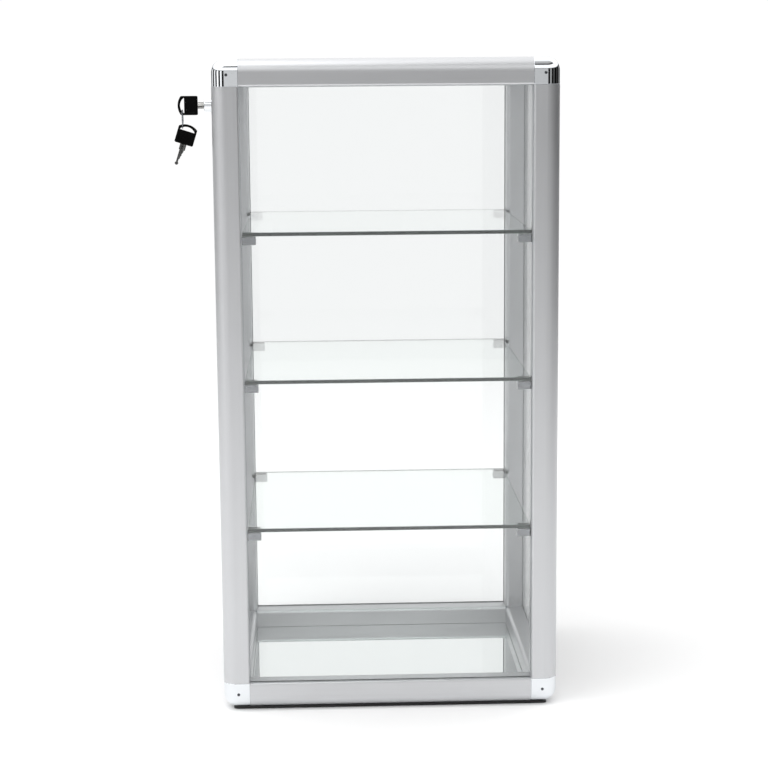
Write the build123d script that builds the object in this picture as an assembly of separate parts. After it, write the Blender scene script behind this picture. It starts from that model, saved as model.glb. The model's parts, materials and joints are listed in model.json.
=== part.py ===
from build123d import *
import os
from math import cos, radians, sin, sqrt

# Lockable countertop display case: a frame of twelve equal aluminium extrusions
# joined by eight chromed corner caps, glazed on the front, right, back and top,
# with a swinging glass door on the left, three glass shelves and a mirror floor.
# Millimetres, +Z up, +X to the right, +Y to the back. The origin is the centre
# of the underside of the base board.

# ------------------------------------------------------------------ overall size
width = 356.0
depth = 305.0
height = 686.0

# ------------------------------------------------------------- frame extrusion
bar = 28.0  # outside size of the square section
bar_corner = 14.0  # outside corner of the section
bar_edge = 2.2  # the two edges beside the glass
bar_inner = 4.5  # corner towards the inside of the case
bar_wall = 1.8
least_round = 0.3
tiny = 1e-6  # for comparing coordinates
groove_offset = 3.5  # from an outside face to the glazing groove behind it
groove_width = 4.5
groove_depth = 9.0

# ------------------------------------------------------------------- base board
base_thick = 3.0
base_inset = 10.0
base_screw_edge = 0.6  # between a base screw and the wall of the glazing groove
base_screw_span = 200.0  # between the two screws under a front or back rail
base_screw_rise = 9.0  # how far a screw stands into the hollow rail
base_screw_radius = 1.6
base_screw_head = 3.6
base_screw_cone = 2.0
base_screw_sink = 0.3  # head below the underside of the board
base_screw_slot = 0.8

# ---------------------------------------------------------------------- glazing
glass_thick = 4.0
glass_edge_gap = 0.5  # between a pane's edge and the bottom of its groove
gasket_web_gap = 0.2
gasket_side_gap = 0.01
gasket_lip = 0.6  # how far a gasket shows past the face of the extrusion

# --------------------------------------------------------------- corner brackets
leg_clearance = 0.4  # between a bracket leg and the walls of the hollow bar
rail_leg = 24.0
cap_fit = 0.1  # between a cap and the hub that it covers
cap_joint_chamfer = 0.4
cap_screw_radius = 1.5
cap_screw_edge = 1.5  # between the set screw and the grooves in the cap
cap_screw_recess = 0.5
cap_screw_tip = 17.0
screw_clearance = 0.05  # radial, on every plain screw hole

# ------------------------------------------------------------------------- door
door_thick = 5.0
door_side_gap = 2.0
door_end_gap = 2.5
seal_lip = 0.8
hinge_setback = 13.0  # from the back post to the hinge axis
pin_radius = 1.5
pin_fit = 0.05
pin_in_bush = 8.0
pin_in_clamp = 7.0
bush_length = 14.0
bush_flange_over = 1.05  # past the groove, on each side
bush_flange_thick = 0.9
bush_side_gap = 0.02
clamp_gap = 0.3  # between a clamp and the flange of its bush
clamp_wall = 2.25
clamp_front = 12.0  # clamp, from the hinge axis towards the front
clamp_back = 9.5
clamp_web = 8.5  # solid end of the clamp, which holds the pin
clamp_cheek = 15.5  # part of the clamp that grips the glass
clamp_round = 2.0
clamp_pad = 0.5
notch_play = 1.0  # glass corner notch, past the clamp's web
clamp_screw_radius = 2.0
clamp_screw_spread = 10.0

# ------------------------------------------------------------------------- lock
lock_setback = 19.5  # from the front post to the lock's axis
lock_drop = 19.2  # from the top rail down to the lock's axis
plug_radius = 4.5
plug_fit = 0.06
barrel_wall = 1.44
barrel_length = 15.7
head_lip = 1.0  # how far the lock's head stands out round its barrel
head_length = 11.9
glass_hole_play = 0.4
washer_thick = 0.5
washer_lip = 1.6
nut_thick = 3.5
nut_wall = 2.5
plug_recess = 0.3
keyway_depth = 17.5
keyway_side_play = 0.15
keyway_edge_play = 0.3
drive_size = 5.0
drive_length = 1.8
drive_fit = 0.05
cam_thick = 1.5
cam_half = 4.0
cam_reach = 24.5
cam_hub_radius = 5.5
cam_screw_head = 3.2
cam_screw_head_thick = 1.8
cam_screw_radius = 1.5
cam_screw_length = 7.0
cam_screw_slot = 0.8
slot_share = 0.7  # a driver slot's half length as a share of the screw head's radius
lock_rim = 0.6  # chamfer round the face of the lock
strike_play = 1.2  # round the cam's path through the post
post_leg_gap = 2.4  # between the cam and the bracket leg above it

# ------------------------------------------------------------------------- keys
blade_thick = 2.0
blade_length = 22.5
shoulder_length = 6.2
shoulder_half = 3.3
blade_low = 2.4  # straight edge of the blade, from its centreline
blade_high = 2.2  # cut edge of the blade where it starts
neck_width = 2.0
tip_radius = 1.8
cut_pitch = 2.0  # spacing of the cuts along the blade's tapering edge
cut_step = 1.1
cut_dip = 0.3
tang_length = 9.0
shoulder_gap = 0.4  # shoulder to the face of the lock, key fully in
bow_width = 19.7
bow_body = 17.4
bow_rise = 3.3
bow_thick = 3.4
bow_round = 1.4
bow_rim = 2.4
eye_body = 14.0  # from the blade end of the bow to the eye's straight side
eye_half = 7.7
eye_side = 0.6
ring_radius = 9.25  # to the middle of the wire
wire_radius = 0.7
wire_past_eye = 1.9  # from the eye's straight side to the wire, key in the lock
wire_in_eye = 3.2  # from the eye's end to the wire, key in the lock
spare_past_eye = 1.77  # the same two for the spare key
spare_in_eye = 2.5
spare_tilt = 17.7

# ---------------------------------------------------------------------- shelves
shelf_thick = 4.0
shelf_side_gap = 1.0
shelf_end_gap = 1.5  # from the glazing grooves to a shelf's front or back
shelf_edge = 0.4
shelf_heights = {"upper": 506.0, "middle": 352.0, "lower": 194.0}
clip_length = 14.7
clip_width = 12.0
clip_height = 8.0
clip_end_gap = 2.0  # from the glazing groove to the clip
clip_round = 0.8
pad_thick = 1.4
pad_proud = 0.9
pad_margin = 1.2
clip_screw_head = 2.6
clip_screw_head_thick = 2.0
clip_screw_sink = 3.0
clip_screw_radius = 1.5
clip_screw_past = 4.0

# -------------------------------------------------------------- derived places
half_w = width / 2
half_d = depth / 2
low = base_thick  # underside of the frame
sill = low + bar  # top of the bottom rails
head = height - bar  # underside of the top rails
jamb_x = half_w - bar  # inner faces of the posts
jamb_y = half_d - bar
groove_mid = groove_offset + groove_width / 2
groove_far = groove_offset + groove_width
groove_near = bar - groove_depth
cap_screw_place = groove_near - cap_screw_edge - cap_screw_radius
base_screw_setback = groove_near - bar_wall - base_screw_edge - base_screw_radius
leg_low = groove_far + bar_wall + leg_clearance
leg_high = bar - bar_wall - leg_clearance
leg_round = bar_inner - bar_wall - leg_clearance
post_leg = lock_drop - cam_half - post_leg_gap
door_x = -half_w + groove_mid
clamp_thick = door_thick + 2 * clamp_pad + 2 * clamp_wall
hinge_y = jamb_y - hinge_setback
barrel_radius = plug_radius + plug_fit + barrel_wall
head_radius = barrel_radius + head_lip
washer_radius = head_radius + washer_lip
nut_across = 2 * (barrel_radius + nut_wall)
lock_y = -jamb_y + lock_setback
lock_z = head - lock_drop
door_outside = door_x - door_thick / 2
door_inside = door_x + door_thick / 2
lock_face = door_outside - washer_thick - head_length
plug_face = lock_face + plug_recess
barrel_end = door_outside - washer_thick + barrel_length
key_zero = lock_face - shoulder_gap - shoulder_length  # blade end of the bow
keyway_width = blade_thick + 2 * keyway_side_play
keyway_half = blade_low + tip_radius - neck_width / 2 + keyway_edge_play
wire_place = (-eye_body - wire_past_eye, wire_in_eye - eye_half)
spare_place = (-eye_body - spare_past_eye, spare_in_eye - eye_half)
shelf_setback = groove_far + shelf_end_gap
clip_setback = groove_far + clip_end_gap + clip_width / 2
mid_height = (low + height) / 2

left_right = Plane.YZ
front_back = Plane.XZ
up_down = Plane.XY.offset(mid_height)


def block(x0, x1, y0, y1, z0, z1):
    """Box between two corners."""
    corner = (Align.MIN, Align.MIN, Align.MIN)
    return Pos(x0, y0, z0) * Box(x1 - x0, y1 - y0, z1 - z0, align=corner)


def rect(x0, x1, y0, y1):
    """Rectangle between two corners."""
    return Pos(x0, y0) * Rectangle(x1 - x0, y1 - y0, align=(Align.MIN, Align.MIN))


def rod(start, direction, length, radius):
    """Round bar from a point along a direction."""
    plane = Plane(origin=start, z_dir=direction)
    return plane * Cylinder(radius, length, align=(Align.CENTER, Align.CENTER, Align.MIN))


def hexagon_rod(start, direction, length, across):
    """Hexagonal bar from a point along a direction, by its size across the flats."""
    plane = Plane(origin=start, z_dir=direction)
    return extrude(plane * RegularPolygon(across / 2, 6, major_radius=False), length, dir=direction)


def one(shape):
    """The single solid of a shape."""
    return shape.solids()[0]


def write(name, *solids):
    """Write one sub-part as a group of its separate solids."""
    flat = [solid for shape in solids for solid in shape.solids()]
    shape = flat[0] if len(flat) == 1 else Compound(children=flat)
    export_step(shape, f"parts/{name}.step")


def section_outline(inset):
    """Outline of the extrusion's section, shrunk by inset. The outside corner is near (0, 0)."""
    far = bar - inset
    outline = rect(inset, far, inset, far)
    rounds = (
        (inset, inset, bar_corner),
        (far, inset, bar_edge),
        (inset, far, bar_edge),
        (far, far, bar_inner),
    )
    for x, y, radius in rounds:
        vertex = outline.vertices().sort_by_distance((x, y, 0))[0]
        outline = fillet(vertex, max(radius - inset, least_round))
    return outline


def bar_section():
    """Hollow section with a glazing groove along each of its two inner faces."""
    section = section_outline(0)
    hollow = section_outline(bar_wall)
    for across in (True, False):
        groove = (groove_near, bar, groove_offset, groove_far)
        skin = (groove[0] - bar_wall, bar, groove_offset - bar_wall, groove_far + bar_wall)
        if not across:
            groove = groove[2:] + groove[:2]
            skin = skin[2:] + skin[:2]
        section -= rect(*groove)
        hollow -= rect(*skin)
    return section - hollow


def corner_screw_holes(radius):
    """Hole for the set screw that holds a cap to its bracket, in the cap's own frame."""
    return rod((cap_screw_place, 0, cap_screw_place), (0, 1, 0), cap_screw_tip, radius)


def corner_cap():
    """Chromed cap: three walls over the bracket's hub, outside corner at the origin."""
    cap = block(0, bar, 0, bar, 0, bar)
    at_origin = [edge for edge in cap.edges() if sum(edge.center()) < bar]
    cap = fillet(at_origin, bar_corner)
    rims = [edge for edge in cap.edges() if sum(abs(v - bar) < tiny for v in edge.center()) == 1]
    cap = chamfer(rims, cap_joint_chamfer)
    inner_low = leg_low - cap_fit
    cap -= block(inner_low, bar, inner_low, bar, inner_low, bar)
    groove = (groove_offset, groove_far)
    deep = (groove_near, bar)
    cap -= block(*groove, *deep, *deep)
    cap -= block(*deep, *groove, *deep)
    cap -= block(*deep, *deep, *groove)
    return one(cap - corner_screw_holes(cap_screw_radius + screw_clearance))


def leg_section():
    """Section of a bracket leg, rounded where the bar's hollow is rounded."""
    section = rect(leg_low, leg_high, leg_low, leg_high)
    vertex = section.vertices().sort_by_distance((leg_high, leg_high, 0))[0]
    return fillet(vertex, max(leg_round, least_round))


def corner_bracket():
    """Three-way bracket: a hub inside the cap and a leg into each of the three bars."""
    hub = block(leg_low, bar, leg_low, bar, leg_low, bar)
    up = Pos(0, 0, bar) * extrude(leg_section(), post_leg)
    along_x = Plane(origin=(bar, 0, 0), x_dir=(0, 1, 0), z_dir=(1, 0, 0))
    along_y = Plane(origin=(0, bar + rail_leg, 0), x_dir=(1, 0, 0), z_dir=(0, -1, 0))
    right = extrude(along_x * leg_section(), rail_leg, dir=(1, 0, 0))
    back = extrude(along_y * leg_section(), rail_leg, dir=(0, -1, 0))
    bracket = hub + up + right + back
    return one(bracket - corner_screw_holes(cap_screw_radius + screw_clearance))


def corner_screw():
    """Set screw with a hexagon socket, just under the face of the cap."""
    body_length = cap_screw_tip - cap_screw_recess
    start = (cap_screw_place, cap_screw_recess, cap_screw_place)
    screw = rod(start, (0, 1, 0), body_length, cap_screw_radius)
    return one(screw - hexagon_rod(start, (0, 1, 0), cap_screw_radius, cap_screw_radius))


def at_corners(shape):
    """A shape in the bottom front left corner's frame, copied to all eight corners."""
    first = Pos(-half_w, -half_d, low) * shape
    found = {}
    for level in ("bottom", "top"):
        for end in ("front", "back"):
            for side in ("left", "right"):
                copy = first
                copy = mirror(copy, about=left_right) if side == "right" else copy
                copy = mirror(copy, about=front_back) if end == "back" else copy
                copy = mirror(copy, about=up_down) if level == "top" else copy
                found[f"{level}_{end}_{side}"] = one(copy)
    return found


def clip_places():
    """Side sign, end sign and shelf underside for each of the twelve clips."""
    signs = ((-1, -1), (1, -1), (-1, 1), (1, 1))
    return {name: [(x, y, z) for x, y in signs] for name, z in shelf_heights.items()}


def clip_screw_line(side, end, shelf_z, start, length, radius):
    """Round bar on a clip screw's axis, from start inside the post's face, outwards."""
    place = (side * (jamb_x - start), end * (half_d - clip_setback))
    z = shelf_z - pad_proud - clip_height / 2
    return rod((*place, z), (side, 0, 0), length, radius)


def strike_slot():
    """Slot in the front left post for the cam's whole swing."""
    entry = sqrt(cam_reach**2 + cam_half**2 - lock_setback**2)
    x = cam_start() - strike_play
    top = lock_z + cam_half + strike_play
    bottom = lock_z - entry - strike_play
    far = -jamb_y - bar_wall - strike_play
    return block(x, cam_start() + cam_thick + strike_play, far, -jamb_y, bottom, top)


def cam_start():
    """Outer face of the cam, along X."""
    return barrel_end + drive_fit


def make_posts():
    """Four hollow posts, drilled for the clip screws; the front left one takes the cam."""
    post = Pos(-half_w, -half_d, sill) * extrude(bar_section(), head - sill)
    posts = {}
    for end_name, end in (("front", -1), ("back", 1)):
        for side_name, side in (("left", -1), ("right", 1)):
            copy = mirror(post, about=left_right) if side > 0 else post
            copy = mirror(copy, about=front_back) if end > 0 else copy
            for places in clip_places().values():
                for x, y, z in places:
                    if (x, y) == (side, end):
                        hole = clip_screw_radius + screw_clearance
                        copy -= clip_screw_line(x, y, z, 0, 2 * bar_wall, hole)
            posts[f"post_{end_name}_{side_name}"] = copy
    posts["post_front_left"] -= strike_slot()
    return {name: one(shape) for name, shape in posts.items()}


def base_screw_places():
    """Plan places of the screws that hold the board to the bottom rails."""
    y = half_d - base_screw_setback
    x = base_screw_span / 2
    places = [(sx * x, sy * y) for sx in (-1, 1) for sy in (-1, 1)]
    side = half_w - base_screw_setback
    return places + [(-side, 0), (side, 0)]


def countersunk(x, y, length, play):
    """Countersunk shape from just under the board's face, grown all round by play."""
    upright = (Align.CENTER, Align.CENTER, Align.MIN)
    shank = base_screw_radius + play
    head_cone = Cone(base_screw_head + play, shank, base_screw_cone, align=upright)
    place = Pos(x, y, base_screw_sink)
    return place * (head_cone + Cylinder(shank, length, align=upright))


def base_screw(x, y):
    """Countersunk screw from under the board into the hollow rail, with a driver slot."""
    screw = countersunk(x, y, low + base_screw_rise, 0)
    reach = base_screw_head * slot_share
    half = base_screw_slot / 2
    slot_top = base_screw_sink + base_screw_slot
    return screw - block(x - reach, x + reach, y - half, y + half, 0, slot_top)


def base_screw_hole(x, y):
    """Hole for a base screw, through the board and the lower wall of the rail."""
    hole = countersunk(x, y, low + 2 * bar_wall, screw_clearance)
    return hole + rod((x, y, 0), (0, 0, 1), base_screw_sink, base_screw_head + screw_clearance)


def make_rails():
    """Eight hollow rails between the corner caps."""
    section = bar_section()
    x_plane = Plane(origin=(-jamb_x, -half_d, low), x_dir=(0, 1, 0), z_dir=(1, 0, 0))
    y_plane = Plane(origin=(-half_w, jamb_y, low), x_dir=(1, 0, 0), z_dir=(0, -1, 0))
    front = extrude(x_plane * section, 2 * jamb_x, dir=(1, 0, 0))
    left = extrude(y_plane * section, 2 * jamb_y, dir=(0, -1, 0))
    rails = {
        "front": front,
        "back": mirror(front, about=front_back),
        "left": left,
        "right": mirror(left, about=left_right),
    }
    found = {}
    for side, rail in rails.items():
        found[f"rail_top_{side}"] = one(mirror(rail, about=up_down))
        for place in base_screw_places():
            rail -= base_screw_hole(*place)
        found[f"rail_bottom_{side}"] = one(rail)
    return found


def make_base():
    """Black base board and its screws, heads just inside the underside."""
    x = half_w - base_inset
    y = half_d - base_inset
    board = block(-x, x, -y, y, 0, low)
    upright = board.edges().filter_by(Axis.Z)
    board = fillet(upright, base_inset / 2)
    screws = []
    for place in base_screw_places():
        board -= base_screw_hole(*place)
        screws.append(one(base_screw(*place)))
    return one(board), screws


def pane(axis, place, first, second, thick=glass_thick):
    """Flat pane square to an axis at a place, with two half sizes or low and high pairs."""
    half = thick / 2
    spans = {"X": ((place - half, place + half), first, second)}
    spans["Y"] = (first, (place - half, place + half), second)
    spans["Z"] = (first, second, (place - half, place + half))
    x, y, z = spans[axis]
    return block(*x, *y, *z)


def make_glazing():
    """Four fixed panes, the mirror floor, and the gasket round each of them."""
    tuck = groove_depth - glass_edge_gap
    walls = {
        "glass_front": ("Y", -half_d + groove_mid, (-jamb_x, jamb_x), (sill, head)),
        "glass_back": ("Y", half_d - groove_mid, (-jamb_x, jamb_x), (sill, head)),
        "glass_right": ("X", half_w - groove_mid, (-jamb_y, jamb_y), (sill, head)),
        "glass_top": ("Z", height - groove_mid, (-jamb_x, jamb_x), (-jamb_y, jamb_y)),
        "mirror_floor": ("Z", low + groove_mid, (-jamb_x, jamb_x), (-jamb_y, jamb_y)),
    }
    panes = {}
    gaskets = []
    for name, (axis, place, first, second) in walls.items():
        def grown(span, by):
            return (span[0] - by, span[1] + by)

        sheet = pane(axis, place, grown(first, tuck), grown(second, tuck))
        reach = groove_depth - gasket_web_gap
        thick = groove_width - 2 * gasket_side_gap
        outer = pane(axis, place, grown(first, reach), grown(second, reach), thick)
        inner = pane(axis, place, grown(first, -gasket_lip), grown(second, -gasket_lip), thick)
        panes[name] = one(sheet)
        gaskets.append(one(outer - inner - sheet))
    return panes, gaskets


def make_door_seal():
    """Rubber strips in the empty grooves round the door opening."""
    half = groove_width / 2 - gasket_side_gap
    x = (door_x - half, door_x + half)
    root = groove_depth - gasket_web_gap
    strips = []
    for end in (-1, 1):
        y = sorted((end * (jamb_y + root), end * (jamb_y - seal_lip)))
        strips.append(block(*x, *y, sill, head))
    front = -jamb_y + seal_lip
    back = hinge_y - bush_length / 2
    strips.append(block(*x, front, back, sill - root, sill + seal_lip))
    strips.append(block(*x, front, back, head - seal_lip, head + root))
    return strips


def at_both_ends(shape):
    """A piece at the bottom of the door and its mirror image at the top."""
    return [one(shape), one(mirror(shape, about=up_down))]


def clamp_bottom():
    """Height of the bottom clamp's lower face."""
    return sill + bush_flange_thick + clamp_gap


def clamp_hold():
    """Plan rectangle of the clamp, as low and high X and Y."""
    half = clamp_thick / 2
    return (door_x - half, door_x + half, hinge_y - clamp_front, hinge_y + clamp_back)


def make_door_glass():
    """Door pane with a notched corner at each hinge and a hole for the lock."""
    edge = jamb_y - door_side_gap
    glass = block(
        door_outside, door_inside, -edge, edge, sill + door_end_gap, head - door_end_gap
    )
    notch_y = hinge_y - clamp_front - notch_play
    notch_z = clamp_bottom() + clamp_web
    notch = block(door_outside, door_inside, notch_y, edge, sill, notch_z)
    for cut in at_both_ends(notch):
        glass -= cut
    hole = barrel_radius + glass_hole_play
    glass -= rod((door_outside, lock_y, lock_z), (1, 0, 0), door_thick, hole)
    return one(glass)


def clamp_screw_places():
    """Y and Z of the two set screws in the bottom clamp."""
    mid_y = hinge_y + (clamp_back - clamp_front) / 2
    z = clamp_bottom() + clamp_web + clamp_cheek / 2
    return [(mid_y + side * clamp_screw_spread / 2, z) for side in (-1, 1)]


def make_hinge():
    """Bottom clamp, its pads, screws, pin and bush. The top set mirrors them."""
    x0, x1, y0, y1 = clamp_hold()
    z0 = clamp_bottom()
    web_top = z0 + clamp_web
    z1 = web_top + clamp_cheek
    clamp = block(x0, x1, y0, y1, z0, z1)
    clamp = fillet(clamp.edges().filter_by(Axis.Z), clamp_round)
    grip = door_thick / 2 + clamp_pad
    clamp -= block(door_x - grip, door_x + grip, y0, y1, web_top, z1)
    clamp -= rod((door_x, hinge_y, z0), (0, 0, 1), pin_in_clamp, pin_radius)
    cheek = clamp_thick / 2 - grip
    screws = []
    for y, z in clamp_screw_places():
        start = (door_x + grip, y, z)
        clamp -= rod(start, (1, 0, 0), cheek, clamp_screw_radius + screw_clearance)
        screw = rod(start, (1, 0, 0), cheek, clamp_screw_radius)
        face = (door_x + clamp_thick / 2, y, z)
        screws.append(screw - hexagon_rod(face, (-1, 0, 0), cheek / 2, clamp_screw_radius))
    pads = []
    for side in (-1, 1):
        x = sorted((door_x + side * door_thick / 2, door_x + side * grip))
        pads.append(block(*x, y0 + clamp_round, y1 - clamp_round, web_top, z1))
    pin_low = sill - pin_in_bush
    pin = rod((door_x, hinge_y, pin_low), (0, 0, 1), z0 + pin_in_clamp - pin_low, pin_radius)
    half = groove_width / 2 - bush_side_gap
    y = (hinge_y - bush_length / 2, hinge_y + bush_length / 2)
    bush = block(door_x - half, door_x + half, *y, sill - groove_depth, sill)
    flange = groove_width / 2 + bush_flange_over
    bush += block(door_x - flange, door_x + flange, *y, sill, sill + bush_flange_thick)
    bore = groove_depth + bush_flange_thick
    bush -= rod((door_x, hinge_y, sill - groove_depth), (0, 0, 1), bore, pin_radius + pin_fit)
    return clamp, pads, screws, pin, bush


def along_lock(x, length, radius):
    """Round bar on the lock's axis, from x towards the inside."""
    return rod((x, lock_y, lock_z), (1, 0, 0), length, radius)


def lock_block(x, length, half_y, half_z):
    """Square-cornered bar centred on the lock's axis, from x towards the inside."""
    return block(x, x + length, lock_y - half_y, lock_y + half_y, lock_z - half_z, lock_z + half_z)


def make_lock():
    """Housing, nut, washers, plug, cam and cam screw on one axis."""
    shell_length = barrel_end - lock_face
    house = along_lock(lock_face, head_length, head_radius)
    rim = house.edges().sort_by(Axis.X)[0]
    house = chamfer(rim, lock_rim)
    house += along_lock(lock_face + head_length, barrel_length, barrel_radius)
    house -= along_lock(lock_face, shell_length, plug_radius + plug_fit)
    nut_x = door_inside + washer_thick
    nut = hexagon_rod((nut_x, lock_y, lock_z), (1, 0, 0), nut_thick, nut_across)
    nut -= along_lock(nut_x, nut_thick, barrel_radius + screw_clearance)
    washers = []
    for x in (door_outside - washer_thick, door_inside):
        ring = along_lock(x, washer_thick, washer_radius)
        washers.append(ring - along_lock(x, washer_thick, barrel_radius + screw_clearance))
    plug_length = barrel_end - plug_face
    plug = along_lock(plug_face, plug_length, plug_radius)
    plug -= lock_block(plug_face, keyway_depth, keyway_width / 2, keyway_half)
    drive = drive_size / 2
    plug += lock_block(barrel_end, drive_length, drive, drive)
    bolt_start = barrel_end + drive_length
    plug -= rod((bolt_start, lock_y, lock_z), (-1, 0, 0), cam_screw_length, cam_screw_radius)
    cam_x = cam_start()
    cam = along_lock(cam_x, cam_thick, cam_hub_radius)
    straight = cam_reach - cam_half
    arm = lock_block(cam_x, cam_thick, cam_half, straight / 2)
    cam += Pos(0, 0, -straight / 2) * arm
    cam += rod((cam_x, lock_y, lock_z - straight), (1, 0, 0), cam_thick, cam_half)
    cam -= lock_block(cam_x, cam_thick, drive + drive_fit, drive + drive_fit)
    screw = rod((bolt_start, lock_y, lock_z), (-1, 0, 0), cam_screw_length, cam_screw_radius)
    cap = along_lock(bolt_start, cam_screw_head_thick, cam_screw_head)
    slot_depth = cam_screw_head_thick / 2
    slot_x = bolt_start + cam_screw_head_thick - slot_depth
    slot = lock_block(slot_x, slot_depth, cam_screw_head * slot_share, cam_screw_slot / 2)
    return house, nut, washers, plug, cam, screw + cap - slot


def key_blade():
    """Flat key blade along +X from the bow's end at the origin, with its tang inside the bow."""
    neck_low = -blade_low
    neck_high = neck_low + neck_width
    taper_end = blade_length - 2 * tip_radius
    outline = Polyline(
        (-tang_length, -shoulder_half),
        (shoulder_length, -shoulder_half),
        (shoulder_length, neck_low),
        (taper_end + tip_radius, neck_low),
        (taper_end + tip_radius, neck_high),
        (taper_end - cut_pitch, neck_high),
        (taper_end - 2 * cut_pitch, neck_high + cut_step),
        (taper_end - 2.5 * cut_pitch, neck_high + cut_step - cut_dip),
        (taper_end - 3.5 * cut_pitch, blade_high - cut_step + cut_dip),
        (taper_end - 4 * cut_pitch, blade_high - cut_step),
        (shoulder_length + cut_pitch, blade_high),
        (shoulder_length, blade_high),
        (shoulder_length, shoulder_half),
        (-tang_length, shoulder_half),
        close=True,
    )
    tip_middle = neck_low + neck_width / 2
    shape = make_face(outline) + Pos(blade_length - tip_radius, tip_middle) * Circle(tip_radius)
    return extrude(shape, blade_thick / 2, both=True)


def key_bow():
    """Moulded bow: a square body, a curved rim at its far end and an eye between them."""
    half = bow_width / 2
    top = -bow_body
    side = Polyline((top, half), (0, half), (0, -half), (top, -half))
    rim = ThreePointArc((top, -half), (top - bow_rise, 0), (top, half))
    body = make_face(side + rim)
    eye_top = -eye_body - eye_side
    peak = top - bow_rise + bow_rim
    low_end = ((eye_top, -eye_half), (-eye_body, -eye_half))
    high_end = ((-eye_body, eye_half), (eye_top, eye_half))
    eye_line = Polyline(*low_end, *high_end)
    eye_arc = ThreePointArc(high_end[1], (peak, 0), low_end[0])
    eye = make_face(eye_line + eye_arc)
    corners = body.vertices().sort_by(Axis.X)
    body = fillet(corners, bow_round)
    bow = extrude(body - eye, bow_thick / 2, both=True)
    return one(bow - key_blade())


def key_plane():
    """Blade along +X, flat faces towards the front and back, at the lock."""
    return Plane(origin=(key_zero, lock_y, lock_z), x_dir=(1, 0, 0), z_dir=(0, -1, 0))


def make_keys():
    """The key in the lock, the ring through its eye and the spare key on the ring."""
    here = key_plane()
    blade = here * key_blade()
    bow = here * key_bow()
    top = Vector(key_zero + wire_place[0], lock_y, lock_z + wire_place[1])
    centre = top - Vector(0, 0, ring_radius)
    ring = Plane(origin=centre, z_dir=(1, 0, 0)) * Torus(ring_radius, wire_radius)
    hang = centre - Vector(0, 0, ring_radius)
    down = Vector(-sin(radians(spare_tilt)), 0, -cos(radians(spare_tilt)))
    turned = Plane(origin=hang, x_dir=down, z_dir=(0, -1, 0))
    spare = turned * Pos(-spare_place[0], -spare_place[1])
    return blade, bow, ring, (spare * key_blade(), spare * key_bow())


def shelf(z):
    """Loose glass shelf with softened edges, by the height of its underside."""
    x = jamb_x - shelf_side_gap
    y = half_d - shelf_setback
    sheet = block(-x, x, -y, y, z, z + shelf_thick)
    return one(chamfer(sheet.edges(), shelf_edge))


def make_clip(side, end, shelf_z):
    """One shelf clip, its pad and its screw, for a shelf underside at shelf_z."""
    top = shelf_z - pad_proud
    mid = half_d - clip_setback
    x = (jamb_x - clip_length, jamb_x)
    y = (mid - clip_width / 2, mid + clip_width / 2)
    body = block(*x, *y, top - clip_height, top)
    free = body.faces().sort_by(Axis.X)[0].edges()
    body = fillet(free, clip_round)
    pad_x = (x[0] + pad_margin, x[1] - pad_margin)
    pad_y = (y[0] + pad_margin, y[1] - pad_margin)
    pad = block(*pad_x, *pad_y, shelf_z - pad_thick, shelf_z)
    body -= pad
    if side < 0:
        body = mirror(body, about=left_right)
        pad = mirror(pad, about=left_right)
    if end < 0:
        body = mirror(body, about=front_back)
        pad = mirror(pad, about=front_back)
    hole = clip_screw_radius + screw_clearance
    sink = clip_screw_sink + clip_screw_head_thick
    body -= clip_screw_line(side, end, shelf_z, clip_length, clip_length, hole)
    body -= clip_screw_line(side, end, shelf_z, clip_length, sink, clip_screw_head + screw_clearance)
    start = clip_length - clip_screw_sink
    screw_length = start + clip_screw_past
    screw = clip_screw_line(side, end, shelf_z, start, screw_length, clip_screw_radius)
    screw += clip_screw_line(side, end, shelf_z, start, clip_screw_head_thick, clip_screw_head)
    screw -= clip_screw_line(side, end, shelf_z, start, clip_screw_head_thick / 2, clip_screw_head / 3)
    return one(body), one(pad), one(screw)


def build():
    """Write every sub-part."""
    os.makedirs("parts", exist_ok=True)
    for name, shape in {**make_posts(), **make_rails()}.items():
        write(name, shape)
    for place, cap in at_corners(corner_cap()).items():
        write(f"corner_cap_{place}", cap)
    brackets = at_corners(corner_bracket())
    for level in ("bottom", "top"):
        write(f"corner_brackets_{level}", *[s for name, s in brackets.items() if level in name])
    write("corner_screws", *at_corners(corner_screw()).values())

    panes, gaskets = make_glazing()
    for name, shape in panes.items():
        write(name, shape)
    write("glazing_gaskets", *gaskets)
    board, base_screws = make_base()
    write("base_board", board)
    write("base_screws", *base_screws)

    write("door_seal", *make_door_seal())
    write("door_glass", make_door_glass())
    clamp, pads, screws, pin, bush = make_hinge()
    bottom, top = at_both_ends(clamp)
    write("hinge_clamp_bottom", bottom)
    write("hinge_clamp_top", top)
    write("clamp_pads", *[piece for pad in pads for piece in at_both_ends(pad)])
    write("clamp_screws", *[piece for screw in screws for piece in at_both_ends(screw)])
    write("hinge_pins", *at_both_ends(pin))
    write("hinge_bushes", *at_both_ends(bush))

    house, nut, washers, plug, cam, cam_screw = make_lock()
    write("lock_housing", house)
    write("lock_nut", nut)
    write("lock_washers", *washers)
    write("lock_plug", plug)
    write("lock_cam", cam)
    write("cam_screw", cam_screw)
    blade, bow, ring, spare = make_keys()
    write("key_blade", blade)
    write("key_bow", bow)
    write("key_ring", ring)
    write("spare_key_blade", spare[0])
    write("spare_key_bow", spare[1])

    for name, places in clip_places().items():
        write(f"shelf_{name}", shelf(shelf_heights[name]))
        clips = [make_clip(*place) for place in places]
        write(f"shelf_clips_{name}", *[clip[0] for clip in clips])
        write(f"clip_screws_{name}", *[clip[2] for clip in clips])
    pads = [make_clip(*place)[1] for places in clip_places().values() for place in places]
    write("clip_pads", *pads)


build()
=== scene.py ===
# %% [markdown]
# # A lockable countertop display case
# The case is a frame of twelve aluminium bars with chromed corner caps, clear
# glass on its sides and top, three glass shelves, a mirror floor and a small
# lock with its keys. The measured model gives every place and size. This script
# gives it finishes, and models again the few pieces whose small shapes matter.

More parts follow.
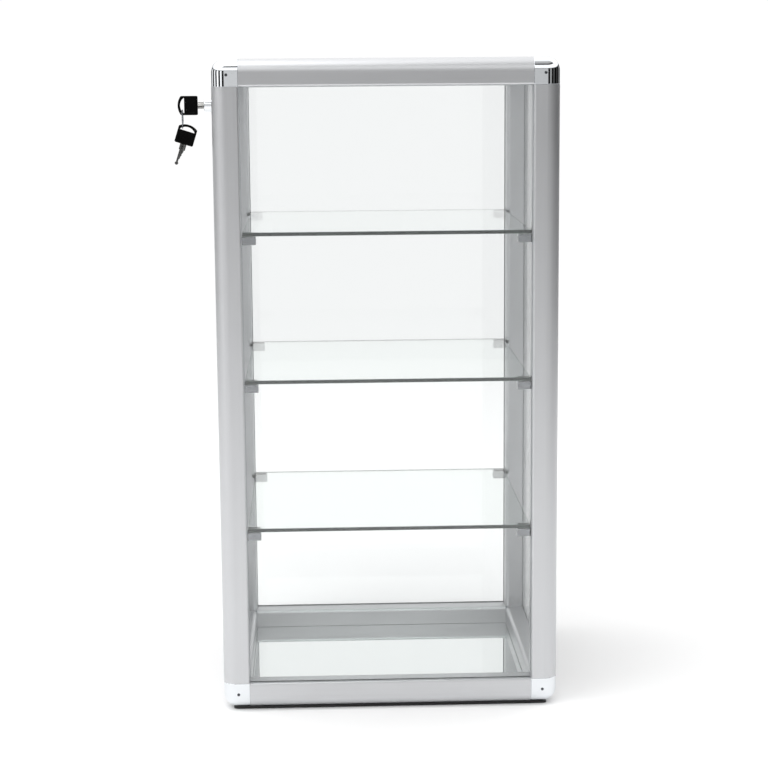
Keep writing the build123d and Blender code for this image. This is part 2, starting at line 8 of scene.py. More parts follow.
# %% Load the measured model
import json
from math import atan2, cos, degrees, pi, radians, sin

import bpy
from mathutils import Matrix, Vector


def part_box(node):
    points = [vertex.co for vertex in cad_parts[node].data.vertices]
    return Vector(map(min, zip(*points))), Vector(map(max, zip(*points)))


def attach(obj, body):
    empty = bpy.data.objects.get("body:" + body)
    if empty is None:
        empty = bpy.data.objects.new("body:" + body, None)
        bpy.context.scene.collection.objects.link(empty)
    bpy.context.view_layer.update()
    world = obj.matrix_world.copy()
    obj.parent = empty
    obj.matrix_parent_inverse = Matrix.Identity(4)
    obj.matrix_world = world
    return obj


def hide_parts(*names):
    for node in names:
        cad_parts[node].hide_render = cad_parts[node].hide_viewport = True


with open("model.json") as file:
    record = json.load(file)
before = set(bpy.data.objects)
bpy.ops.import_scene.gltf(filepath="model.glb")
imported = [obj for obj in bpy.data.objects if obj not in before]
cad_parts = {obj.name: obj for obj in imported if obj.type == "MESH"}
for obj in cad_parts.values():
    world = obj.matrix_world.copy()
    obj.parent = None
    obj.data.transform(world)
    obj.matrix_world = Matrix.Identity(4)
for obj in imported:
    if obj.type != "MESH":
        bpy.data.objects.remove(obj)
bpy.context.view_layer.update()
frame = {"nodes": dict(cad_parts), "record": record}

nodes = frame["nodes"]
slot_of = {row["node"]: row["material_slot"] for row in frame["record"]["subparts"]}
body_of = {node: body for body, names in frame["record"]["behaviour"]["bodies"].items() for node in names}

# %% [markdown]
# ## Working in millimetres
# Blender counts in metres, while a shop drawing of a showcase counts in
# millimetres. One constant turns one into the other, and one function turns a
# hex colour, as a paint chart gives it, into the linear light that shaders use.

# %% Units and colours
MM = 0.001


def paint(code, alpha=1.0):
    """sRGB hex code to linear colour"""
    parts = [int(code[i:i + 2], 16) / 255 for i in (1, 3, 5)]
    linear = [p / 12.92 if p <= 0.04045 else ((p + 0.055) / 1.055) ** 2.4 for p in parts]
    return (*linear, alpha)


print("mid grey is", round(paint("#808080")[0], 3), "in linear light")

# %% [markdown]
# ## Tools for hand modelling
# Each operator works on what is selected, so a selection is made fresh every
# time. A modifier is applied as soon as it is added, so each step starts from a
# plain mesh. A finished piece has its place in its mesh and its object at the
# origin, so that patterns keep still on it.

# %% Selecting and settling
def only(*objects):
    """Selects these objects alone, the first one active"""
    bpy.ops.object.select_all(action="DESELECT")
    for item in objects:
        item.select_set(True)
    bpy.context.view_layer.objects.active = objects[0]
    return objects[0]


def settle(piece):
    """Puts the place, turn and size of a piece into its mesh"""
    only(piece)
    bpy.ops.object.transform_apply(location=True, rotation=True, scale=True)
    return piece


def smooth(piece, angle=35):
    """Shades soft bends smoothly and leaves corners crisp"""
    only(piece)
    bpy.ops.object.shade_smooth_by_angle(angle=radians(angle))
    return piece


def modify(piece, kind, **settings):
    """Adds one modifier and applies it at once"""
    only(piece)
    bpy.ops.object.modifier_add(type=kind)
    modifier = piece.modifiers[-1]
    for key, value in settings.items():
        setattr(modifier, key, value)
    bpy.ops.object.modifier_apply(modifier=modifier.name)
    return piece


# %% [markdown]
# ## Taking a measured piece to the bench
# A measured piece comes as loose triangles with perfectly sharp edges. No real
# piece has those: a casting, a pressing or a ground pane always has a small
# worn or broken edge that catches light. So a piece that is seen from near is
# copied, its triangles are joined up into whole faces, and its edges are broken
# by a fraction of a millimetre with a bevel.

# %% Copies with broken edges
def bench_copy(node):
    """A copy of a measured node, merged into whole faces"""
    piece = bpy.data.objects.new("finished_" + node, nodes[node].data.copy())
    bpy.context.scene.collection.objects.link(piece)
    only(piece)
    bpy.ops.mesh.customdata_custom_splitnormals_clear()
    bpy.ops.object.mode_set(mode="EDIT")
    bpy.ops.mesh.select_all(action="SELECT")
    bpy.ops.mesh.remove_doubles(threshold=0.001 * MM)
    bpy.ops.mesh.dissolve_limited(angle_limit=radians(0.3))
    bpy.ops.object.mode_set(mode="OBJECT")
    return piece


def broken_edges(piece, width, segments=2, angle=38):
    """Bevels every corner sharper than the angle, in metres, and shades the piece"""
    modify(piece, "BEVEL", width=width, segments=segments, limit_method="ANGLE",
           angle_limit=radians(angle), use_clamp_overlap=True)
    return smooth(piece)


def stands_for(piece, node):
    """Hides a measured node behind its finished piece, which moves with the node's body"""
    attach(piece, body_of[node])
    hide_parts(node)
    return piece


print("bench ready")

# %% [markdown]
# ## The camera
# The case is seen from the height of its top, looking slightly down, and a
# little from the left. The camera stands about two metres away with a long
# lens, so the uprights stay nearly parallel. It is built from three turns, which
# are its heading, its tip and its roll, and from its place.

# %% Camera
def aim(heading, down, roll):
    """Turn matrix of a camera that looks along +Y, then turned by heading and tipped down"""
    forward = Vector((sin(heading) * cos(down), cos(heading) * cos(down), -sin(down)))
    across = Vector((cos(heading), -sin(heading), 0))
    above = across.cross(forward)
    right = cos(roll) * across + sin(roll) * above
    up = cos(roll) * above - sin(roll) * across
    return Matrix((right, up, -forward)).transposed()


lens = bpy.data.cameras.new("studio_lens")
lens.sensor_width = 36.0
lens.lens = 89.9
camera = bpy.data.objects.new("studio_camera", lens)
bpy.context.scene.collection.objects.link(camera)
camera_place = Vector((-74.8, -2114.7, 679.9)) * MM
turn = aim(heading=radians(2.04), down=radians(9.48), roll=radians(-0.445))
camera.matrix_world = Matrix.Translation(camera_place) @ turn.to_4x4()
bpy.context.scene.camera = camera
case_middle = Vector((0, 0, 340)) * MM
print("camera", round(lens.lens, 1), "mm lens,", round((camera_place - case_middle).length, 2), "m away")

# %% [markdown]
# ## Adding shader nodes
# A finish is a small network of nodes. One helper adds a node, gives it its
# settings and plugs in its wires, so each finish below reads as a short list of
# what feeds what.

# %% One helper for every node
def add(tree, kind, settings=None, **inputs):
    """Adds a node; inputs are values, or sockets to link from"""
    node = tree.nodes.new(kind)
    for key, value in (settings or {}).items():
        setattr(node, key, value)
    for key, value in inputs.items():
        name = key.replace("_", " ")
        socket = node.inputs[int(key[1:])] if key[0] == "i" and key[1:].isdigit() else node.inputs[name]
        if isinstance(value, bpy.types.NodeSocket):
            tree.links.new(value, socket)
        else:
            socket.default_value = value
    return node


def ramp(tree, factor, *stops):
    """A colour ramp whose stops are (place, grey)"""
    node = add(tree, "ShaderNodeValToRGB", Fac=factor)
    band = node.color_ramp.elements
    while len(band) < len(stops):
        band.new(0.5)
    for element, (place, grey) in zip(band, stops):
        element.position = place
        element.color = (grey, grey, grey, 1)
    return node.outputs["Color"]


# %% [markdown]
# ## The floor
# A catalogue studio for glass is a white room with a sheet of white paper under
# the case. The paper is matt, so it takes a soft shadow and shows no reflection.

# %% The pale floor
bpy.ops.object.select_all(action="DESELECT")
floor_radius = 2.6
bpy.ops.mesh.primitive_circle_add(vertices=96, radius=floor_radius, fill_type="NGON", location=(0, 0, 0))
floor = bpy.context.active_object
floor.name = "studio_floor"
pale = bpy.data.materials.new("white_studio_paper")
pale.use_nodes = True
paper = pale.node_tree.nodes["Principled BSDF"]
paper.inputs["Base Color"].default_value = paint("#f2f2f2")
paper.inputs["Roughness"].default_value = 0.9
paper.inputs["Specular IOR Level"].default_value = 0.2
floor.data.materials.append(pale)
print("floor", 2 * floor_radius, "m across")

# %% [markdown]
# ## The room
# White all round would leave polished metal blank, because it shows only what
# it mirrors. So light that bounces off metal meets a second room. Its walls are
# bright to the left, dimmer behind the camera and dark to the right, with white
# screens that leave dark gaps about as wide. Its ceiling is bright, with
# a dark hatch on the camera's side. What is seen past the case or through the
# glass is still plain white.

# %% The white room
room = bpy.data.worlds.new("white_studio")
room.use_nodes = True
bpy.context.scene.world = room
sky = room.node_tree
sky.nodes.clear()
room.cycles.sampling_method = "NONE"
toward = add(sky, "ShaderNodeSeparateXYZ", Vector=add(sky, "ShaderNodeTexCoord").outputs["Generated"])
front = add(sky, "ShaderNodeMath", {"operation": "MULTIPLY"}, i0=toward.outputs["Y"], i1=-1.0)
around = add(sky, "ShaderNodeMath", {"operation": "ARCTAN2"}, i0=toward.outputs["X"], i1=front.outputs[0])
round_room = add(sky, "ShaderNodeMapRange", Value=around.outputs[0], From_Min=-pi, From_Max=pi)
# from behind the case, by the left, to behind the camera in the middle, and back by the right
walls = ramp(sky, round_room.outputs[0],
             (0.0, 1.0), (0.1, 1.0), (0.24, 1.0), (0.33, 1.7), (0.42, 1.25), (0.5, 0.66), (0.57, 0.44),
             (0.63, 0.25), (0.68, 0.05), (0.8, 0.05), (0.86, 0.4), (0.93, 1.0), (1.0, 1.0))
screen_count = 12.0
first_screen = 0.62
screens = add(sky, "ShaderNodeMath", {"operation": "MULTIPLY_ADD"},
              i0=round_room.outputs[0], i1=screen_count, i2=first_screen)
across_screen = add(sky, "ShaderNodeMath", {"operation": "FRACT"}, i0=screens.outputs[0])
gaps = ramp(sky, across_screen.outputs[0],
            (0.0, 0.01), (0.44, 0.01), (0.48, 1.0), (0.9, 1.0), (0.94, 0.01), (1.0, 0.01))
# no gaps behind the case
sides = ramp(sky, round_room.outputs[0], (0.06, 0.0), (0.1, 1.0), (0.92, 1.0), (0.95, 0.0))
standing = add(sky, "ShaderNodeMix", {"data_type": "RGBA", "blend_type": "MULTIPLY"},
               i0=sides, i6=walls, i7=gaps)
# the ceiling starts above a dark edge, and its hatch lies overhead on the camera's side
height = add(sky, "ShaderNodeMapRange", Value=toward.outputs["Z"], From_Min=-1.0, From_Max=1.0)
ceiling = ramp(sky, height.outputs[0], (0.0, 0.06), (0.655, 0.06), (0.68, 1.0), (1.0, 1.0))
above = ramp(sky, height.outputs[0], (0.0, 0.0), (0.635, 0.0), (0.65, 1.0), (1.0, 1.0))
ceiling_glow = 1.3
hatch = ramp(sky, height.outputs[0],
             (0.85, ceiling_glow), (0.865, 0.02), (0.9, 0.08), (0.93, 0.4), (0.985, 0.6), (1.0, 1.0))
forward = add(sky, "ShaderNodeMapRange", Value=front.outputs[0], From_Min=0.0, From_Max=0.1)
bright = add(sky, "ShaderNodeMix", {"data_type": "RGBA"},
             i0=forward.outputs[0], i6=(ceiling_glow, ceiling_glow, ceiling_glow, 1), i7=hatch)
overhead = add(sky, "ShaderNodeMix", {"data_type": "RGBA", "blend_type": "MULTIPLY"},
               i0=1.0, i6=ceiling, i7=bright.outputs[2])
mirrored = add(sky, "ShaderNodeMix", {"data_type": "RGBA"},
               i0=above, i6=standing.outputs[2], i7=overhead.outputs[2])
# only light that bounces off metal meets this room, and light through the glass meets plain white
path = add(sky, "ShaderNodeLightPath")
not_through = add(sky, "ShaderNodeMath", {"operation": "SUBTRACT", "use_clamp": True},
                  i0=path.outputs["Is Glossy Ray"], i1=path.outputs["Is Transmission Ray"])
seen = add(sky, "ShaderNodeMix", {"data_type": "RGBA"},
           i0=not_through.outputs[0], i6=(1, 1, 1, 1), i7=mirrored.outputs[2])
room_strength = 1.02
glow = add(sky, "ShaderNodeBackground", Color=seen.outputs[2], Strength=room_strength)
add(sky, "ShaderNodeOutputWorld", Surface=glow.outputs[0])
print("white room lit,", int(screen_count), "screens")

# %% [markdown]
# ## Three soft lamps
# Large square lamps model the bars and give the case its soft shadow. The one
# in front is hidden from reflections, because the polished caps would show it
# in place of the dark hatch.

# %% The soft lamps
def soft_lamp(name, place, look_at, size, watts, mirrored=True):
    """A square soft box, in metres, and whether polished things show it"""
    bpy.ops.object.select_all(action="DESELECT")
    bpy.ops.object.light_add(type="AREA", location=place)
    lamp = bpy.context.active_object
    lamp.name = name
    lamp.data.size = size
    lamp.data.energy = watts
    lamp.rotation_euler = (Vector(look_at) - Vector(place)).to_track_quat("-Z", "Y").to_euler()
    lamp.visible_glossy = mirrored
    return lamp


soft_lamp("overhead_softbox", (-1.2, -0.5, 2.4), (-0.2, 0, 0.2), 2.4, 32)
soft_lamp("right_softbox", (1.8, 0.9, 2.2), (0.2, 0, 0.2), 1.4, 8)
soft_lamp("front_softbox", (0.1, -2.0, 2.6), (0.05, -0.1, 0), 1.4, 12, mirrored=False)
print("three soft lamps")

# %% [markdown]
# ## Plain tones
# The picture is kept as light falls, with no film curve laid over it, so white
# paper stays white and the greys of the metal are what the finishes give. Light
# crosses many glass faces on its way through the case, and goes black if it is
# cut off too soon, so it is allowed many bounces.

# %% Picture settings
bpy.context.scene.view_settings.view_transform = "Standard"
bounces_through_glass = 24
bounces_between_metals = 10
bpy.context.scene.cycles.max_bounces = bounces_through_glass
bpy.context.scene.cycles.transmission_bounces = bounces_through_glass
bpy.context.scene.cycles.glossy_bounces = bounces_between_metals

# %% [markdown]
# ## Anodised aluminium
# The bars are pushed through a steel die, etched and anodised to a satin
# silver. The etch gives a soft, even gloss, and the die leaves faint lines
# along each bar. Real die lines are about a tenth of a millimetre apart, too
# fine to show, so they are drawn 0.9 mm apart and very weak. The lines run
# along the bar, so there is one finish for each of the three directions.

# %% Anodised aluminium
def start(name):
    """A new material and its main shader"""
    material = bpy.data.materials.new(name)
    material.use_nodes = True
    return material, material.node_tree, material.node_tree.nodes["Principled BSDF"]


def fill(shader, **values):
    """Sets constants on the main shader's own sockets"""
    for key, value in values.items():
        shader.inputs[key.replace("_", " ")].default_value = value


def stretched_noise(tree, across, along, axis, detail=2.0):
    """Noise drawn out along one axis, both sizes in millimetres"""
    scale = [1 / (across * MM)] * 3
    scale[axis] = 1 / (along * MM)
    place = add(tree, "ShaderNodeTexCoord").outputs["Object"]
    drawn = add(tree, "ShaderNodeMapping", Vector=place, Scale=scale)
    return add(tree, "ShaderNodeTexNoise", Vector=drawn.outputs[0], Scale=1.0, Detail=detail).outputs["Fac"]


def anodised(name, axis):
    material, tree, shader = start(name)
    fill(shader, Metallic=1.0, Specular_IOR_Level=0.5)
    lines = stretched_noise(tree, across=0.9, along=260, axis=axis)
    cloud = stretched_noise(tree, across=35, along=90, axis=axis)
    tone = add(tree, "ShaderNodeMix", {"data_type": "RGBA"},
               i0=lines, i6=paint("#cbccce"), i7=paint("#d1d2d4"))
    tree.links.new(tone.outputs[2], shader.inputs["Base Color"])
    mixed = add(tree, "ShaderNodeMix", i0=0.35, i2=lines, i3=cloud)
    gloss = add(tree, "ShaderNodeMapRange", Value=mixed.outputs[0],
                From_Min=0.3, From_Max=0.7, To_Min=0.38, To_Max=0.45)
    tree.links.new(gloss.outputs[0], shader.inputs["Roughness"])
    grain = add(tree, "ShaderNodeBump", Strength=0.03, Distance=0.02 * MM, Height=lines)
    tree.links.new(grain.outputs[0], shader.inputs["Normal"])
    return material


X, Y, Z = 0, 1, 2
upright_aluminium = anodised("satin_anodised_aluminium_upright", Z)
cross_aluminium = anodised("satin_anodised_aluminium_across", X)
deep_aluminium = anodised("satin_anodised_aluminium_front_to_back", Y)
print("three runs of anodised aluminium")


# %% [markdown]
# ## Plated and plain metals
# The corner caps, hinge clamps and lock are zinc castings with a bright chrome
# plate, and the shelf clips have a darker nickel plate. Plating levels the
# surface but keeps a trace of the casting's waviness, a few millimetres long,
# and gathers faint rubbing marks. Screws, cam and ring are steel. The keys are
# nickel-plated steel, and the spare has gone dull. All of them share one recipe:
# a metal colour, a roughness range and a grit size.

# %% Metals
casting_wave = 7


def metal(name, colour, low, high, grit, wave=0.0):
    """A metal with roughness from low to high over patches of grit mm, and waves of this depth in mm"""
    material, tree, shader = start(name)
    fill(shader, Metallic=1.0, Base_Color=paint(colour))
    marks = stretched_noise(tree, grit, grit * 1.6, X, detail=5.0)
    gloss = add(tree, "ShaderNodeMapRange", Value=marks, From_Min=0.35, From_Max=0.7, To_Min=low, To_Max=high)
    tree.links.new(gloss.outputs[0], shader.inputs["Roughness"])
    swell = stretched_noise(tree, casting_wave, casting_wave, X, detail=1.0) if wave else marks
    relief = add(tree, "ShaderNodeBump", Height=swell,
                 Strength=0.35 if wave else 0.1, Distance=(wave or 0.01) * MM)
    tree.links.new(relief.outputs[0], shader.inputs["Normal"])
    return material


bright_chrome = metal("bright_chrome_plate", "#e6e9ec", 0.03, 0.10, 3.0, wave=0.05)
satin_chrome = metal("chrome_plated_zinc", "#dfe2e5", 0.07, 0.16, 2.0, wave=0.03)
clip_nickel = metal("nickel_plated_zinc_clip", "#85878a", 0.06, 0.15, 2.0, wave=0.12)
nickel = metal("nickel_plated_steel", "#cfcfcc", 0.12, 0.26, 1.5)
dull_nickel = metal("tarnished_nickel_spare", "#6f6f6e", 0.2, 0.38, 1.5)
zinc_cast = metal("zinc_die_casting", "#a9adb2", 0.35, 0.55, 2.5)
zinc_steel = metal("zinc_plated_steel", "#b9bdc1", 0.22, 0.38, 1.2)
oiled_steel = metal("blackened_screw_steel", "#6a6c70", 0.28, 0.45, 1.0)
spring_steel = metal("hardened_spring_steel", "#a6a9ad", 0.16, 0.3, 1.0)
print("nine metals")


# %% [markdown]
# ## Float glass
# Float glass is clear through its face, with an index of 1.52. Its iron turns
# it green over a long path, so the faces stay nearly colourless, while a cut
# edge, which is seen along the whole pane, looks almost black-green. The ground
# edge is a finish of its own: dark, satin and a little uneven from the wheel.
# The narrow arris between edge and face catches the light, so it is paler.

# %% Glass and mirror
def float_glass(name, tint):
    material, tree, shader = start(name)
    fill(shader, Base_Color=paint(tint), Transmission_Weight=1.0, IOR=1.52)
    fill(shader, Roughness=0.0, Specular_IOR_Level=0.5)
    return material


def ground_edge(name, dark, light):
    material, tree, shader = start(name)
    fill(shader, IOR=1.52)
    chips = stretched_noise(tree, 2.2, 2.2, X, detail=4.0)
    tone = add(tree, "ShaderNodeMix", {"data_type": "RGBA"}, i0=chips, i6=paint(dark), i7=paint(light))
    tree.links.new(tone.outputs[2], shader.inputs["Base Color"])
    gloss = add(tree, "ShaderNodeMapRange", Value=chips, To_Min=0.16, To_Max=0.34)
    tree.links.new(gloss.outputs[0], shader.inputs["Roughness"])
    return material


clear_glass = float_glass("clear_float_glass", "#f9fafa")
shelf_glass = float_glass("clear_shelf_glass", "#f9fdfb")
pane_edge = ground_edge("ground_glass_edge", "#2b3a35", "#4d5f59")
shelf_edge = ground_edge("dark_shelf_edge", "#202a27", "#404c48")
shelf_arris = ground_edge("light_shelf_arris", "#8d9895", "#b4bfbc")


def silvered_mirror(name):
    """A silvered back under clear glass: a near perfect reflection, a trace cooler than silver"""
    material, tree, shader = start(name)
    fill(shader, Metallic=1.0, Base_Color=paint("#f1f4f3"))
    dust = stretched_noise(tree, 14, 30, X, detail=6.0)
    gloss = add(tree, "ShaderNodeMapRange", Value=dust, From_Min=0.45, From_Max=0.8, To_Min=0.0, To_Max=0.03)
    tree.links.new(gloss.outputs[0], shader.inputs["Roughness"])
    return material


floor_mirror = silvered_mirror("silvered_floor_mirror")
print("glass ready")


# %% [markdown]
# ## Rubber, nylon, board and key plastic
# The glazing strip and the door seal are extruded grey vinyl: half matt, and
# slightly uneven along their length. The pads on the shelf clips are clear soft
# vinyl, and the hinge bushes are natural nylon. The board under the case is
# black-faced hardboard, and its black is partly painted shade: it darkens the
# narrow gap under the case, where the shade falls. The key heads are moulded in
# black plastic from a spark-eroded mould, which leaves an orange-peel grain.

# %% Plastics and board
def moulded(name, dark, light, low, high, grain, depth):
    """A dull solid with colour and gloss that change over grains of a size, relief depth in mm"""
    material, tree, shader = start(name)
    fill(shader, IOR=1.5)
    specks = stretched_noise(tree, grain, grain, X, detail=4.0)
    tone = add(tree, "ShaderNodeMix", {"data_type": "RGBA"}, i0=specks, i6=paint(dark), i7=paint(light))
    tree.links.new(tone.outputs[2], shader.inputs["Base Color"])
    gloss = add(tree, "ShaderNodeMapRange", Value=specks, From_Min=0.3, From_Max=0.7, To_Min=low, To_Max=high)
    tree.links.new(gloss.outputs[0], shader.inputs["Roughness"])
    relief = add(tree, "ShaderNodeBump", Strength=0.4, Distance=depth * MM, Height=specks)
    tree.links.new(relief.outputs[0], shader.inputs["Normal"])
    return material, shader


seal_rubber, _ = moulded("grey_vinyl_glazing_strip", "#9a9da0", "#b2b5b7", 0.3, 0.45, 1.4, 0.02)
# the board's black is partly painted shade, darkening the narrow gap under the case
black_board_and_gap_shade, _ = moulded("black_hardboard_and_painted_gap_shade", "#0f0f10", "#1c1c1d", 0.45, 0.62, 0.8, 0.03)
key_plastic, key_shader = moulded("black_moulded_key_head", "#020202", "#040404", 0.34, 0.46, 0.35, 0.012)
fill(key_shader, Specular_IOR_Level=0.07)
nylon, nylon_shader = moulded("natural_nylon", "#dcd9cd", "#e8e5da", 0.35, 0.5, 1.1, 0.01)
fill(nylon_shader, Subsurface_Weight=0.25, Subsurface_Scale=0.8 * MM)
clear_pad, pad_shader = moulded("clear_vinyl_pad", "#e4e8e8", "#f2f5f5", 0.2, 0.3, 1.0, 0.01)
fill(pad_shader, Transmission_Weight=0.55)
print("plastics ready")


# %% [markdown]
# ## Dressing the measured pieces
# Most measured pieces already have the right shape, so they stay and only get
# their finish. A table of finishes by slot is enough, with the bars told apart
# by their direction.

# %% Finishes on the measured nodes
finish_of_slot = {
    "frame_aluminium": upright_aluminium, "cap_chrome": bright_chrome, "bracket_zinc": zinc_cast,
    "screw_steel": oiled_steel, "clear_glass": clear_glass, "shelf_glass": shelf_glass,
    "clip_chrome": clip_nickel, "pad_clear": clear_pad, "floor_mirror": floor_mirror,
    "seal_rubber": seal_rubber, "base_black": black_board_and_gap_shade, "hinge_chrome": satin_chrome,
    "bush_nylon": nylon, "lock_chrome": bright_chrome, "cam_steel": zinc_steel,
    "key_nickel": nickel, "key_plastic": key_plastic, "ring_steel": spring_steel,
}


def bar_finish(node):
    if node.startswith("post"):
        return upright_aluminium
    return cross_aluminium if node.endswith(("front", "back")) else deep_aluminium


for node, thing in nodes.items():
    slot = slot_of[node]
    dressed = bar_finish(node) if slot == "frame_aluminium" else finish_of_slot[slot]
    for holder in thing.material_slots:
        holder.material = dressed
print("dressed", len(nodes), "nodes")


# %% [markdown]
# ## Shelves and door glass with ground edges
# A loose pane is cut, then its sharp edges are ground off on a belt. The arris
# that this leaves is about half a millimetre wide and shows as a light hair
# line along the dark edge. The measured shelves have theirs already, and the
# door's is ground here. Then each face gets its finish by its lean: a broad face
# lies flat, an edge face stands upright to it, and an arris is in between.

# %% Loose panes
flat_lean = 0.95
arris_lean = 0.3


def ground_pane(node, axis, edge_finish, arris=0.0):
    """A pane whose broad faces look along an axis, with an arris in mm still to be ground"""
    pane = bench_copy(node)
    if arris:
        broken_edges(pane, arris * MM, segments=1)
    only(pane)
    bpy.ops.object.shade_flat()
    pane.data.materials.clear()
    pane.data.materials.append(finish_of_slot[slot_of[node]])
    pane.data.materials.append(edge_finish)
    pane.data.materials.append(shelf_arris)
    kinds = [0, 0, 0]
    for face in pane.data.polygons:
        lean = abs(face.normal[axis])
        face.material_index = 0 if lean > flat_lean else 2 if lean > arris_lean else 1
        kinds[face.material_index] += 1
    print(node, "has broad, edge and arris faces:", kinds)
    return stands_for(pane, node)


for shelf in ("shelf_upper", "shelf_middle", "shelf_lower"):
    ground_pane(shelf, Z, shelf_edge)
ground_pane("door_glass", X, pane_edge, arris=0.5)


# %% [markdown]
# ## Castings with softened edges
# Corner caps, shelf clips, hinge clamps and the parts of the lock come out of a
# mould and a barrel polisher, which rounds every corner by a few tenths of a
# millimetre. A small bevel does the same, and on chrome it makes the bright
# outlines that tell the eye that these are solid metal. Weighted normals then
# keep the flat faces looking flat beside their bevels.

# %% Caps, clips, clamps and lock
softened = {
    "shelf_clips_upper": 0.45, "shelf_clips_middle": 0.45, "shelf_clips_lower": 0.45,
    "hinge_clamp_bottom": 0.5, "hinge_clamp_top": 0.5, "lock_housing": 0.25,
    "lock_nut": 0.25, "lock_plug": 0.12, "lock_cam": 0.2,
}
softened.update({node: 0.4 for node in nodes if node.startswith("corner_cap")})
for node, width in softened.items():
    casting = broken_edges(bench_copy(node), width * MM)
    modify(casting, "WEIGHTED_NORMAL", keep_sharp=True)
    casting.data.materials.clear()
    casting.data.materials.append(finish_of_slot[slot_of[node]])
    stands_for(casting, node)
    print(node, len(casting.data.polygons), "faces")


# %% [markdown]
# ## The thread on the lock barrel
# The lock is held by a nut on a threaded barrel. The free end of the thread
# shows from inside the case. A thread is one small ridge wound round a
# cylinder: a tapered profile carried round and along by the Screw modifier.

# %% Barrel thread
_, nut_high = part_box("lock_nut")
plug_low, plug_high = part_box("lock_plug")
lock_centre = (plug_low + plug_high) / 2
barrel_radius = 6.0 * MM
thread_pitch = 1.0 * MM


def wound(name, profile, turns, pitch, steps):
    """Winds a profile of (radius, height) points into a coil round Z, closed at its ends"""
    bpy.ops.object.select_all(action="DESELECT")
    bpy.ops.mesh.primitive_circle_add(vertices=len(profile), radius=1 * MM)
    coil = bpy.context.active_object
    coil.name = name
    for point, (radius, height) in zip(coil.data.vertices, profile):
        point.co = (radius, 0, height)
    stations = int(steps * turns)
    modify(coil, "SCREW", angle=2 * pi * turns, screw_offset=pitch * turns, axis="Z",
           steps=stations, render_steps=stations, use_merge_vertices=False, use_smooth_shade=True)
    bpy.ops.object.mode_set(mode="EDIT")
    bpy.ops.mesh.select_mode(type="EDGE")
    bpy.ops.mesh.select_all(action="DESELECT")
    bpy.ops.mesh.select_non_manifold()
    bpy.ops.mesh.edge_face_add()
    bpy.ops.mesh.select_all(action="SELECT")
    bpy.ops.mesh.normals_make_consistent(inside=False)
    bpy.ops.object.mode_set(mode="OBJECT")
    return coil


thread_turns = 5
root_radius = barrel_radius - 0.1 * MM
crest_radius = barrel_radius + 0.3 * MM
half_root = 0.38 * MM
half_crest = 0.06 * MM
past_nut = 0.6 * MM
ridge = [(root_radius, -half_root), (crest_radius, -half_crest),
         (crest_radius, half_crest), (root_radius, half_root)]
thread = wound("lock_barrel_thread", ridge, thread_turns, thread_pitch, steps=40)
thread.rotation_euler = (0, pi / 2, 0)
thread.location = (nut_high.x + past_nut, lock_centre.y, lock_centre.z)
settle(thread)
smooth(thread, 60)
thread.data.materials.append(bright_chrome)
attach(thread, "door")
print("thread of", thread_turns, "turns", len(thread.data.polygons), "faces")


# %% [markdown]
# ## The key ring
# A key ring is a flat steel wire wound in two turns that lie against each
# other, with a free end on each side where a key is pushed on. It is made like
# the thread: a small rounded section wound through nearly two turns. The wire is
# slim enough to clear the eyes of both key heads at the ends of their swings.

# %% Split ring
ring_low, ring_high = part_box("key_ring")
ring_centre = (ring_low + ring_high) / 2
half_thick = 0.25 * MM
half_deep = 0.62 * MM
ring_radius = (ring_high.z - ring_low.z) / 2 - half_deep
section_points = 12
section_turns = [2 * pi * i / section_points for i in range(section_points)]
section = [(ring_radius + half_deep * cos(t), half_thick * sin(t)) for t in section_turns]
coils = 1.94
coil_pitch = 0.52 * MM
split_ring = wound("split_key_ring", section, coils, coil_pitch, steps=72)
split_ring.rotation_euler = (0, pi / 2, 0)
split_ring.location = (ring_centre.x - coil_pitch * coils / 2, ring_centre.y, ring_centre.z)
settle(split_ring)
smooth(split_ring, 50)
split_ring.data.materials.append(spring_steel)
stands_for(split_ring, "key_ring")
print("ring of", coils, "turns", len(split_ring.data.polygons), "faces")


# %% [markdown]
# ## Moulded key heads
# Each key has a black moulded head with a raised rim round a shallow thumb
# panel. The edges are rounded first, as a mould would leave them. Then a block
# with rounded edges is cut out of each broad face with a Boolean, which leaves
# the rim standing. The spare's head is a copy, turned to hang as measured.

# %% Key heads
def balance_point(thing):
    """Where a thin skin of this shape would balance"""
    whole = sum(face.area for face in thing.data.polygons)
    return sum((face.center * face.area for face in thing.data.polygons), Vector()) / whole


head_low, head_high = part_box("key_bow")
head_round = 0.35 * MM
head = broken_edges(bench_copy("key_bow"), head_round, segments=3)
panel_size = Vector((9.6, 1.0, 14.4)) * MM
panel_depth = 0.35 * MM
panel_round = 0.45 * MM
panel_from_shoulder = 7.4 * MM
for face_y, outward in ((head_low.y, -1), (head_high.y, 1)):
    bpy.ops.object.select_all(action="DESELECT")
    bpy.ops.mesh.primitive_cube_add(size=1, location=(0, 0, 0))
    panel = bpy.context.active_object
    panel.scale = panel_size
    settle(panel)
    modify(panel, "BEVEL", width=panel_round, segments=4, limit_method="ANGLE")
    reach = panel_size.y / 2 - panel_depth
    panel.location = (head_high.x - panel_from_shoulder, face_y + outward * reach,
                      (head_low.z + head_high.z) / 2)
    modify(head, "BOOLEAN", operation="DIFFERENCE", solver="MANIFOLD", object=panel)
    bpy.data.objects.remove(panel)
head.data.materials.clear()
head.data.materials.append(key_plastic)
smooth(head)

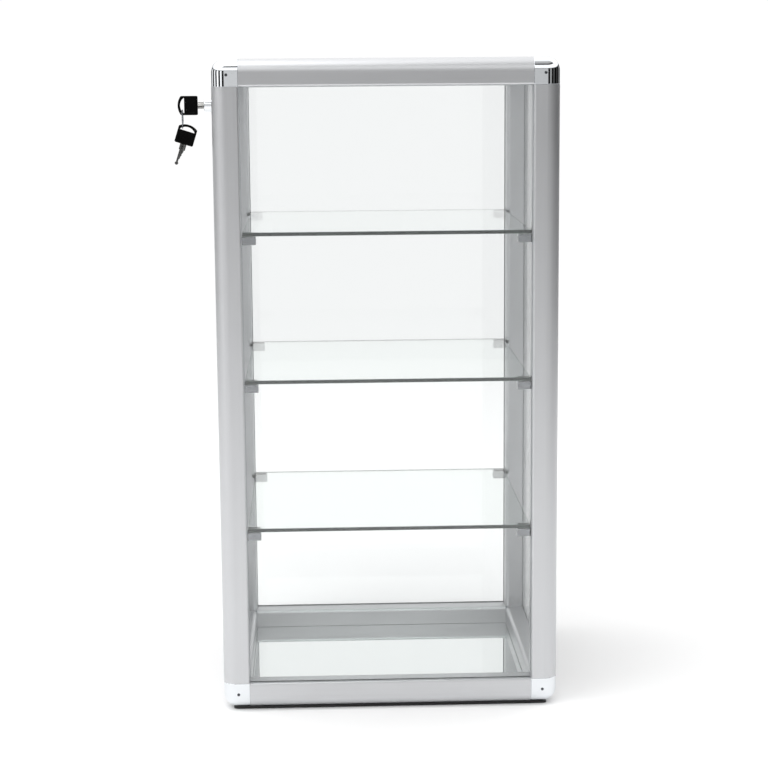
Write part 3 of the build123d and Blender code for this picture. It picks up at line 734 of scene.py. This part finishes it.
spare_head = bpy.data.objects.new("finished_spare_key_bow", head.data.copy())
bpy.context.scene.collection.objects.link(spare_head)
first_run = balance_point(nodes["key_blade"]) - balance_point(nodes["key_bow"])
spare_run = balance_point(nodes["spare_key_blade"]) - balance_point(nodes["spare_key_bow"])
hang_angle = atan2(-spare_run.z, spare_run.x) - atan2(-first_run.z, first_run.x)
turned = Matrix.Rotation(hang_angle, 4, "Y")
spare_head.data.transform(Matrix.Translation(balance_point(nodes["spare_key_bow"])) @ turned
                          @ Matrix.Translation(-balance_point(nodes["key_bow"])))
stands_for(head, "key_bow")
stands_for(spare_head, "spare_key_bow")
print("spare key hangs", round(degrees(hang_angle), 1), "degrees round")
print("each head has", len(head.data.polygons), "faces")


# %% [markdown]
# ## Key blades
# A blade is stamped from flat steel, then a long flute is milled into each side
# and the cuts are ground along one edge. The measured blade has its cuts. The
# flute is taken out here with a rounded cutter and a Boolean, as the milling
# cutter does, and the edges are broken very slightly.

# %% Milled blades
flute_radius = 0.6 * MM
flute_lift = 0.25 * MM
flute_aside = 0.8 * MM
cutter_length = 60 * MM
blade_break = 0.1 * MM


def milled_blade(node, head_node, plating):
    """A blade with a flute along each side, offset to opposite edges"""
    low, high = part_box(node)
    head_low, head_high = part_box(head_node)
    middle = (low + high) / 2
    run = middle - (head_low + head_high) / 2
    run.y = 0
    tip_angle = atan2(run.x, run.z)
    blade = bench_copy(node)
    for side in (-1, 1):
        bpy.ops.object.select_all(action="DESELECT")
        bpy.ops.mesh.primitive_cylinder_add(vertices=24, radius=flute_radius, depth=cutter_length)
        cutter = bpy.context.active_object
        cutter.rotation_euler = (0, tip_angle, 0)
        face_y = high.y if side > 0 else low.y
        across = Vector((cos(tip_angle), 0, -sin(tip_angle)))
        on_face = Vector((middle.x, face_y + side * flute_lift, middle.z))
        cutter.location = on_face + across * side * flute_aside
        modify(blade, "BOOLEAN", operation="DIFFERENCE", solver="EXACT", object=cutter)
        bpy.data.objects.remove(cutter)
    broken_edges(blade, blade_break, segments=1)
    blade.data.materials.clear()
    blade.data.materials.append(plating)
    print(node, "leans", round(degrees(tip_angle)), "degrees,", len(blade.data.polygons), "faces")
    return stands_for(blade, node)


milled_blade("key_blade", "key_bow", nickel)
milled_blade("spare_key_blade", "spare_key_bow", dull_nickel)

# %% Done
print("scene done")
